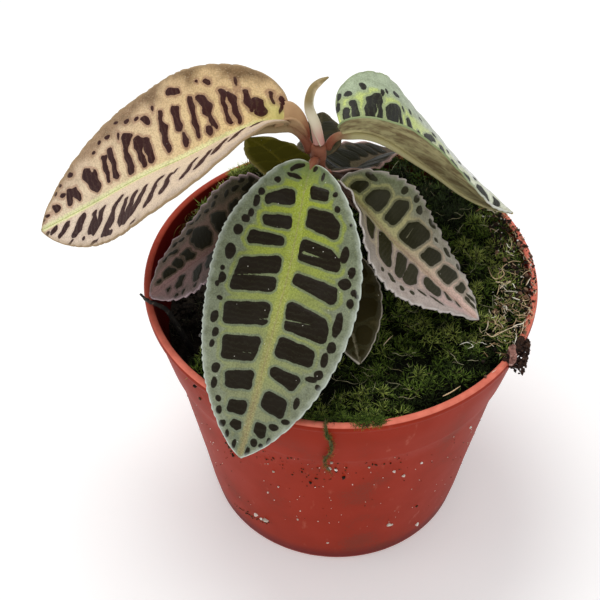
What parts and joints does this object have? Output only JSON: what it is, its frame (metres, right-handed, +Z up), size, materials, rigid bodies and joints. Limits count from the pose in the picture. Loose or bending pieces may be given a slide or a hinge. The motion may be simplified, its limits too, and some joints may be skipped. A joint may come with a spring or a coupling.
{
  "type": "potted labisia",
  "caption": "Young labisia plant with broad patterned leaves on a short stem, standing in mossy soil in a tapered plastic nursery pot.",
  "frame": {"origin": "centre of the pot's flat underside", "axes": "+Z up, -Y towards the front leaf, +X to the right seen from the front"},
  "size_m": [0.1311, 0.11, 0.1411],
  "materials": {
    "pot_plastic": "satin terracotta coloured plastic",
    "peat": "moist dark peat",
    "moss": "fine living moss",
    "stem_skin": "smooth reddish stem",
    "young_leaf": "soft cream young leaf",
    "leaf_green": "satin green leaf with dark patches",
    "leaf_bronze": "satin tan leaf with dark patches",
    "leaf_mauve": "satin mauve grey leaf with dark patches",
    "leaf_dark": "satin dark olive leaf",
    "bark": "rough bark"
  },
  "bodies": {
    "root": {"pot": "pot_plastic", "soil": "peat", "moss": "moss", "stem": "stem_skin", "new_leaf": "young_leaf", "leaf_front": "leaf_green", "leaf_left": "leaf_bronze", "leaf_right": "leaf_green", "leaf_low_right": "leaf_mauve", "leaf_low_left": "leaf_mauve", "leaf_low_front": "leaf_dark", "leaf_back_right": "leaf_dark", "leaf_back_left": "leaf_dark", "leaf_back": "leaf_dark", "bark_right": "bark", "bark_left": "bark"}
  },
  "joints": []
}
